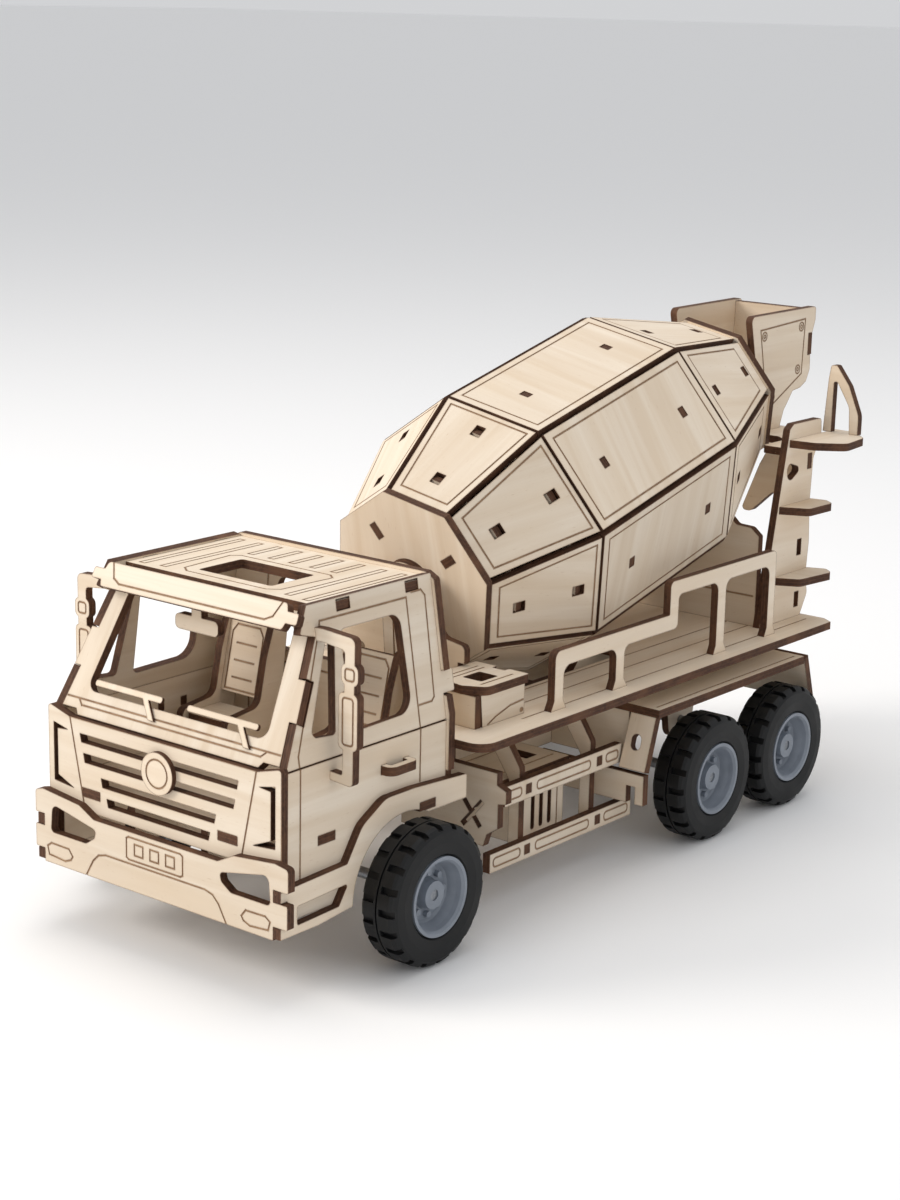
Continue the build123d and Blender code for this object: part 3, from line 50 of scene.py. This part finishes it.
class Nodes:
    """Short way to build a material's node tree."""

    def __init__(self, name):
        self.mat = bpy.data.materials.new(name)
        self.mat.use_nodes = True
        self.tree = self.mat.node_tree
        self.tree.nodes.clear()
        self.out = self.add("ShaderNodeOutputMaterial")
        self.bsdf = self.add("ShaderNodeBsdfPrincipled")
        self.link(self.bsdf.outputs[0], self.out.inputs[0])

    def add(self, kind, **props):
        node = self.tree.nodes.new(kind)
        for key, value in props.items():
            setattr(node, key, value)
        return node

    def link(self, a, b):
        self.tree.links.new(a, b)

    def put(self, socket, value):
        if isinstance(value, bpy.types.NodeSocket):
            self.link(value, socket)
        else:
            socket.default_value = value

    def math(self, op, a, b=0.0):
        node = self.add("ShaderNodeMath", operation=op)
        self.put(node.inputs[0], a)
        self.put(node.inputs[1], b)
        return node.outputs[0]

    def xyz(self, x, y, z):
        node = self.add("ShaderNodeCombineXYZ")
        self.put(node.inputs[0], x)
        self.put(node.inputs[1], y)
        self.put(node.inputs[2], z)
        return node.outputs[0]

    def noise(self, vector, scale, detail=3.0, rough=0.55, distort=0.0):
        node = self.add("ShaderNodeTexNoise")
        self.link(vector, node.inputs["Vector"])
        node.inputs["Scale"].default_value = scale
        node.inputs["Detail"].default_value = detail
        node.inputs["Roughness"].default_value = rough
        node.inputs["Distortion"].default_value = distort
        return node.outputs[0]

    def stretched(self, u, v, along, across, seed, detail, rough, distort=0.0):
        """Noise over u and v, each scaled on its own; seed sets one pattern apart from the next."""
        far = self.math("MULTIPLY", u, along)
        wide = self.math("MULTIPLY", v, across)
        return self.noise(self.xyz(far, wide, seed), 1.0, detail, rough, distort)

    def mix(self, factor, a, b, mode="MIX"):
        node = self.add("ShaderNodeMix", data_type="RGBA", blend_type=mode)
        self.put(node.inputs[0], factor)
        for socket, value in ((node.inputs[6], a), (node.inputs[7], b)):
            self.put(socket, (*value, 1.0) if isinstance(value, tuple) else value)
        return node.outputs[2]

    def spread(self, value, low, high, amount):
        """A value mapped from its range to 0 to 1, times an amount."""
        return self.math("MULTIPLY", self.map_range(value, low, high), amount)

    def map_range(self, value, a, b, c=0.0, d=1.0):
        node = self.add("ShaderNodeMapRange")
        self.link(value, node.inputs[0])
        for i, v in enumerate((a, b, c, d)):
            node.inputs[i + 1].default_value = v
        return node.outputs[0]

    def bump(self, height, strength, distance):
        node = self.add("ShaderNodeBump")
        self.link(height, node.inputs["Height"])
        node.inputs["Strength"].default_value = strength
        node.inputs["Distance"].default_value = distance
        self.link(node.outputs[0], self.bsdf.inputs["Normal"])

    def surface(self, base, rough, specular=None):
        """Links the base colour and sets the other surface values."""
        self.link(base, self.bsdf.inputs["Base Color"])
        self.put(self.bsdf.inputs["Roughness"], rough)
        if specular is not None:
            self.put(self.bsdf.inputs["Specular IOR Level"], specular)

    def uv(self, name):
        node = self.add("ShaderNodeUVMap", uv_map=name)
        split = self.add("ShaderNodeSeparateXYZ")
        self.link(node.outputs[0], split.inputs[0])
        return split.outputs[0], split.outputs[1]


def edge_mask(n, radius, low, high):
    """1 close to a sharp edge, 0 in the middle of a face."""
    bevel = n.add("ShaderNodeBevel", samples=BEVEL_SAMPLES)
    bevel.inputs[0].default_value = radius
    geometry = n.add("ShaderNodeNewGeometry")
    dot = n.add("ShaderNodeVectorMath", operation="DOT_PRODUCT")
    n.link(bevel.outputs[0], dot.inputs[0])
    n.link(geometry.outputs["Normal"], dot.inputs[1])
    return n.map_range(dot.outputs["Value"], high, low)


# ---------------------------------------------------------------- materials

FACE_LIGHT = (0.800, 0.700, 0.580)
FACE_DARK = (0.700, 0.575, 0.440)
FACE_WARM = (0.755, 0.615, 0.455)
FLECK = (0.42, 0.25, 0.12)
HALO = (0.46, 0.29, 0.16)
SCORCH = (0.10, 0.048, 0.022)
CHAR_DARK = (0.034, 0.015, 0.009)
CHAR_LIGHT = (0.100, 0.044, 0.023)
CHAR_LAYER = (0.150, 0.070, 0.036)
CHAR_PATCH = (0.175, 0.080, 0.040)
CHAR_SPECK = (0.55, 0.38, 0.24)
LAYER_PAIRS = 2.5         # pairs of pale and dark veneers through a plate
LINE_DARK = (0.270, 0.155, 0.085)
LINE_LIGHT = (0.440, 0.285, 0.165)
BEECH_LIGHT = (0.62, 0.44, 0.26)
BEECH_DARK = (0.46, 0.29, 0.15)
RUBBER_DARK = (0.0040, 0.0042, 0.0044)
RUBBER_LIGHT = (0.0090, 0.0094, 0.0100)
# painted highlight colour for tyre edges
RUBBER_EDGE_HIGHLIGHT = (0.030, 0.032, 0.036)
RIM_DARK = (0.185, 0.208, 0.245)
RIM_LIGHT = (0.235, 0.262, 0.305)
# painted highlight colour for rim edges
RIM_EDGE_HIGHLIGHT = (0.33, 0.37, 0.44)
STEEL_DARK = (0.20, 0.215, 0.24)
STEEL_LIGHT = (0.32, 0.335, 0.36)


def birch(name):
    """Pale birch plywood face: fine fibres, soft figure, small flecks and scorched rims."""
    n = Nodes(name)
    u, v = n.uv("grain")
    tint, _ = n.uv("piece")
    fibre = n.stretched(u, v, 22.0, 900.0, 0.0, 4.0, 0.62)
    figure = n.stretched(u, v, 7.0, 95.0, 3.0, 3.0, 0.5, 0.7)
    cloud = n.stretched(u, v, 16.0, 34.0, 7.0, 2.0, 0.5)
    fleck = n.stretched(u, v, 260.0, 1700.0, 5.0, 1.0, 0.4)
    base = n.mix(n.map_range(figure, 0.34, 0.68), FACE_LIGHT, FACE_DARK)
    base = n.mix(n.spread(cloud, 0.42, 0.75, 0.4), base, FACE_WARM)
    base = n.mix(n.spread(fibre, 0.45, 0.8, 0.34), base, FACE_DARK)
    base = n.mix(n.spread(fleck, 0.70, 0.80, 0.30), base, FLECK)
    shade = n.map_range(tint, 0.0, 1.0, 0.90, 1.05)
    green = n.math("MULTIPLY", shade, 0.995)
    blue = n.math("MULTIPLY", shade, 0.98)
    base = n.mix(1.0, base, n.xyz(shade, green, blue), "MULTIPLY")
    scorch = edge_mask(n, 0.0009, 0.80, 0.985)
    halo = edge_mask(n, 0.0020, 0.80, 0.999)
    base = n.mix(n.math("MULTIPLY", halo, 0.26), base, HALO)
    base = n.mix(n.math("MULTIPLY", scorch, 0.85), base, SCORCH)
    n.surface(base, 0.62, 0.32)
    n.bump(fibre, 0.25, 0.00006)
    return n.mat


def burnt_edge(name):
    """Laser-charred plywood edge with faint veneer layers."""
    n = Nodes(name)
    u, v = n.uv("ply")
    layers = n.math("SINE", n.math("MULTIPLY", v, 2 * math.pi * LAYER_PAIRS / PLY))
    soot = n.stretched(u, v, 420.0, 700.0, 1.0, 4.0, 0.65)
    patch = n.stretched(u, v, 60.0, 90.0, 9.0, 2.0, 0.5)
    base = n.mix(n.map_range(soot, 0.32, 0.72), CHAR_DARK, CHAR_LIGHT)
    base = n.mix(n.spread(layers, -0.2, 1.0, 0.30), base, CHAR_LAYER)
    base = n.mix(n.spread(patch, 0.45, 0.72, 0.55), base, CHAR_PATCH)
    speck = n.stretched(u, v, 1500.0, 1500.0, 2.0, 1.0, 0.5)
    base = n.mix(n.spread(speck, 0.74, 0.80, 0.6), base, CHAR_SPECK)
    n.surface(base, 0.72, 0.25)
    n.bump(soot, 0.5, 0.00012)
    return n.mat


def burnt_line(name):
    """Engraved line: light brown scorch with darker stretches."""
    n = Nodes(name)
    u, v = n.uv("grain")
    heat = n.stretched(u, v, 160.0, 160.0, 0.0, 3.0, 0.6)
    base = n.mix(n.map_range(heat, 0.3, 0.7), LINE_DARK, LINE_LIGHT)
    n.surface(base, 0.8)
    n.bump(heat, 0.3, 0.00005)
    return n.mat


def object_point(n):
    return n.add("ShaderNodeTexCoord").outputs["Object"]


def dowel(name):
    """Round beech rod."""
    n = Nodes(name)
    stretch = n.add("ShaderNodeMapping")
    stretch.inputs["Scale"].default_value = (60.0, 60.0, 60.0)
    n.link(object_point(n), stretch.inputs[0])
    fibre = n.noise(stretch.outputs[0], 6.0, 4.0, 0.6)
    base = n.mix(n.map_range(fibre, 0.3, 0.7), BEECH_LIGHT, BEECH_DARK)
    n.surface(base, 0.6)
    n.bump(fibre, 0.2, 0.0001)
    return n.mat


def rubber(name):
    """Black tyre rubber with dusty patches and a painted highlight along its edges."""
    n = Nodes(name)
    point = object_point(n)
    dust = n.noise(point, 55.0, 4.0, 0.6)
    grit = n.noise(point, 1400.0, 2.0, 0.6)
    base = n.mix(n.map_range(dust, 0.35, 0.75), RUBBER_DARK, RUBBER_LIGHT)
    # painted highlight: the tyre edges are lightened towards a bluish grey
    edge = edge_mask(n, 0.0006, 0.85, 0.99)
    base = n.mix(n.math("MULTIPLY", edge, 0.25), base, RUBBER_EDGE_HIGHLIGHT)
    n.surface(base, n.map_range(dust, 0.3, 0.7, 0.45, 0.62), 0.3)
    n.bump(grit, 0.18, 0.00008)
    return n.mat


def rim_plastic(name):
    """Blue-grey satin plastic wheel rim with a painted highlight along its edges."""
    n = Nodes(name)
    point = object_point(n)
    cloud = n.noise(point, 90.0, 3.0, 0.5)
    grain = n.noise(point, 2200.0, 2.0, 0.5)
    base = n.mix(n.map_range(cloud, 0.35, 0.7), RIM_DARK, RIM_LIGHT)
    # painted highlight: the rim edges are lightened towards a paler blue-grey
    edge = edge_mask(n, 0.0005, 0.85, 0.99)
    base = n.mix(n.math("MULTIPLY", edge, 0.35), base, RIM_EDGE_HIGHLIGHT)
    n.surface(base, n.map_range(cloud, 0.3, 0.7, 0.33, 0.45))
    n.bump(grain, 0.1, 0.00004)
    return n.mat


def steel(name):
    """Drawn steel rod."""
    n = Nodes(name)
    grain = n.noise(object_point(n), 900.0, 3.0, 0.6)
    base = n.mix(n.map_range(grain, 0.3, 0.7), STEEL_DARK, STEEL_LIGHT)
    n.surface(base, 0.45)
    n.put(n.bsdf.inputs["Metallic"], 0.8)
    n.bump(grain, 0.1, 0.00003)
    return n.mat


face_mat = birch("birch_face")
edge_mat = burnt_edge("charred_edge")
line_mat = burnt_line("engraved_line")
dowel_mat = dowel("beech_dowel")
steel_mat = steel("axle_steel")
tyre_mat = rubber("tyre_rubber")
rim_mat = rim_plastic("rim_plastic_grey")


# ---------------------------------------------------------------- plates

def numbered(rows):
    """One whole number for each different row."""
    _, number = np.unique(rows, axis=0, return_inverse=True)
    return number.reshape(-1)


def islands(vert, poly, count):
    """Label of the connected patch each polygon belongs to."""
    total = poly.max() + 1
    label = np.arange(count)
    for _ in range(MOST_PASSES):
        low = np.full(total, count, np.int64)
        np.minimum.at(low, poly, label[vert])
        new = label.copy()
        np.minimum.at(new, vert, low[poly])
        new = new[new]
        if np.array_equal(new, label):
            break
        label = new
    low = np.full(total, count, np.int64)
    np.minimum.at(low, poly, label[vert])
    return low


def longest(points):
    """Longest extent of a flat patch."""
    flat = points - points.mean(axis=0)
    _, _, axes = np.linalg.svd(flat, full_matrices=False)
    return np.ptp(flat @ axes[0])


def gather(items, field, width=1, kind=np.float64):
    """One property of every vertex, loop or polygon of a mesh."""
    values = np.empty(len(items) * width, kind)
    items.foreach_get(field, values)
    return values.reshape(-1, width) if width > 1 else values


def grain_axes(normal, turned=False):
    """Directions along and across the grain of a plate with this normal."""
    along = AXIS_X if abs(normal[1]) > 0.8 else AXIS_Y
    if turned:
        along = np.cross(normal, along)
    along = along - normal * (along @ normal)
    along /= np.linalg.norm(along)
    return along, np.cross(normal, along)


def main_normal(polys, normal, area):
    """Direction that the most area of a plate faces, either way."""
    best, most = None, -1.0
    for p in polys[np.argsort(-area[polys])][:LARGEST]:
        share = area[polys][np.abs(normal[polys] @ normal[p]) > ALIGNED].sum()
        if share > most:
            best, most = normal[p], share
    return best / np.linalg.norm(best)


def dress_plate(obj, rng):
    """Gives flat faces, cut edges and engraved lines of every plate their own material."""
    mesh = obj.data
    npoly, nl = len(mesh.polygons), len(mesh.loops)
    co = gather(mesh.vertices, "co", 3)
    loops = gather(mesh.loops, "vertex_index", kind=np.int64)
    starts = gather(mesh.polygons, "loop_start", kind=np.int64)
    totals = gather(mesh.polygons, "loop_total", kind=np.int64)
    normal = gather(mesh.polygons, "normal", 3)
    area = gather(mesh.polygons, "area")
    poly_of_loop = np.repeat(np.arange(npoly), totals)
    vert = numbered(np.round(co / SAME_POINT).astype(np.int64))[loops]
    label = islands(vert, poly_of_loop, vert.max() + 1)
    first_corner = co[loops[starts]]
    offset = np.einsum("ij,ij->i", normal, first_corner)
    key = (np.round(normal * NORMAL_STEPS), np.round(offset / SAME_PLANE))
    plane = numbered(np.column_stack(key).astype(np.int64))
    pair = numbered(np.column_stack((vert, plane[poly_of_loop])))
    patch = islands(pair, poly_of_loop, pair.max() + 1)
    index = np.zeros(npoly, np.int32)
    grain = np.zeros((nl, 2))
    ply = np.zeros((nl, 2))
    piece = np.zeros((nl, 2))
    for solid in np.unique(label):
        polys = np.where(label == solid)[0]
        n = main_normal(polys, normal, area)
        mine = np.isin(poly_of_loop, polys)
        pts = co[loops[mine]]
        height = pts @ n
        top, low = height.max(), height.min()
        hmax = np.full(npoly, -1e9)
        hmin = np.full(npoly, 1e9)
        np.maximum.at(hmax, poly_of_loop[mine], height)
        np.minimum.at(hmin, poly_of_loop[mine], height)
        for p in polys:
            aligned = abs(float(normal[p] @ n)) > ALIGNED
            outer = hmin[p] > top - FLAT or hmax[p] < low + FLAT
            shallow = hmin[p] > top - GROOVE or hmax[p] < low + GROOVE
            if aligned and outer:
                index[p] = FACE
            elif shallow:
                index[p] = LINE
            else:
                index[p] = EDGE
        g, c = grain_axes(n, turned=rng.random() < TURNED_SHARE)
        tone = rng.random()
        shift = rng.random(2) * SHIFT
        grain[mine, 0] = pts @ g + shift[0]
        grain[mine, 1] = pts @ c + shift[1]
        ply[mine, 0] = pts @ g + pts @ c + shift[0]
        ply[mine, 1] = height - low
        piece[mine, 0] = tone
        piece[mine, 1] = shift[1]
    for mark in np.unique(patch[(index == EDGE) & (area > SMALL_POLYGON)]):
        polys = patch == mark
        mine = polys[poly_of_loop]
        pts = co[loops[mine]]
        total = area[polys].sum()
        if total < FACE_AREA or total / longest(pts) < FACE_WIDTH:
            continue
        index[polys] = FACE
        g, c = grain_axes(normal[polys][0])
        grain[mine, 0] = pts @ g + mark % 37
        grain[mine, 1] = pts @ c + mark % 23
    for name, data in (("grain", grain), ("ply", ply), ("piece", piece)):
        layer = mesh.uv_layers.new(name=name)
        layer.data.foreach_set("uv", data.astype(np.float32).reshape(-1))
    mesh.materials.clear()
    for mat in (face_mat, edge_mat, line_mat):
        mesh.materials.append(mat)
    mesh.polygons.foreach_set("material_index", index)
    mesh.update()


rng = np.random.default_rng(17)
for name in sorted(WOOD):
    dress_plate(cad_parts[name], rng)


def coat(name, mat):
    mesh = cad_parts[name].data
    mesh.materials.clear()
    mesh.materials.append(mat)


coat("drum_shaft", dowel_mat)
for axle in WHEELS:
    coat(f"{axle}_axle", steel_mat)
    coat(f"{axle}_rims", rim_mat)
    coat(f"{axle}_tyres", tyre_mat)


# ---------------------------------------------------------------- floor, light, camera

FLOOR_WHITE = (0.93, 0.93, 0.93, 1.0)
FLOOR_SIZE = 80.0
FLOOR_DROP = 0.0002       # gap under the tyres
SKY = (0.97, 0.98, 1.0, 1.0)
SKY_STRENGTH = 0.66


def floor_material():
    n = Nodes("floor_paint")
    n.put(n.bsdf.inputs["Base Color"], FLOOR_WHITE)
    n.put(n.bsdf.inputs["Roughness"], 0.9)
    n.put(n.bsdf.inputs["Specular IOR Level"], 0.1)
    return n.mat


bpy.ops.mesh.primitive_plane_add(size=FLOOR_SIZE, location=(0, 0, -FLOOR_DROP))
floor = bpy.context.object
floor.name = "studio_floor"
floor.data.materials.append(floor_material())

world = bpy.data.worlds.new("studio")
scene.world = world
world.use_nodes = True
sky = world.node_tree.nodes["Background"]
sky.inputs[0].default_value = SKY
sky.inputs[1].default_value = SKY_STRENGTH


def softbox(name, location, target, size, power, color):
    data = bpy.data.lights.new(name, "AREA")
    data.shape = "DISK"
    data.size = size
    data.energy = power
    data.color = color
    lamp = bpy.data.objects.new(name, data)
    scene.collection.objects.link(lamp)
    lamp.location = location
    aim = Vector(target) - Vector(location)
    lamp.rotation_euler = aim.to_track_quat("-Z", "Y").to_euler()


middle = (0.0, 0.0, 0.1)
softbox("key", (-1.3, -1.5, 1.1), middle, 0.9, 28.0, (1.0, 0.94, 0.87))
softbox("side", (1.8, -0.3, 1.0), middle, 1.4, 2.5, (0.90, 0.95, 1.0))
softbox("top", (-0.3, 0.3, 2.0), middle, 1.4, 12.0, (1.0, 0.98, 0.96))

# Where the photo was taken from: degrees, then metres.
AZIMUTH, ELEVATION, ROLL = 38.9, 14.2, 1.23
DISTANCE, SIDEWAYS, UPWARD = 1.1291, 0.02534, 0.06892
Y_SHIFT, AIM_HEIGHT = -0.081, 0.060
FOCAL = 71.66             # millimetres, on a 36 mm frame
SENSOR = 36.0


def photo_camera():
    """Camera at the photo's angle and distance."""
    a, e, r = (math.radians(x) for x in (AZIMUTH, ELEVATION, ROLL))
    back = Vector((math.sin(a) * math.cos(e), -math.cos(a) * math.cos(e), math.sin(e)))
    level = Vector((math.cos(a), math.sin(a), 0.0))
    upright = back.cross(level)
    right = level * math.cos(r) + upright * math.sin(r)
    up = upright * math.cos(r) - level * math.sin(r)
    aim = Vector((0.0, Y_SHIFT, AIM_HEIGHT))
    place = aim + right * SIDEWAYS + up * UPWARD + back * DISTANCE
    data = bpy.data.cameras.new("photo_camera")
    data.lens = FOCAL
    data.sensor_width = SENSOR
    data.sensor_fit = "AUTO"
    data.clip_start = 0.05
    cam = bpy.data.objects.new("photo_camera", data)
    scene.collection.objects.link(cam)
    cam.matrix_world = Matrix((
        (right.x, up.x, back.x, place.x),
        (right.y, up.y, back.y, place.y),
        (right.z, up.z, back.z, place.z),
        (0.0, 0.0, 0.0, 1.0),
    ))
    return cam


scene.camera = photo_camera()
scene.view_settings.view_transform = "Standard"

bpy.context.view_layer.update()
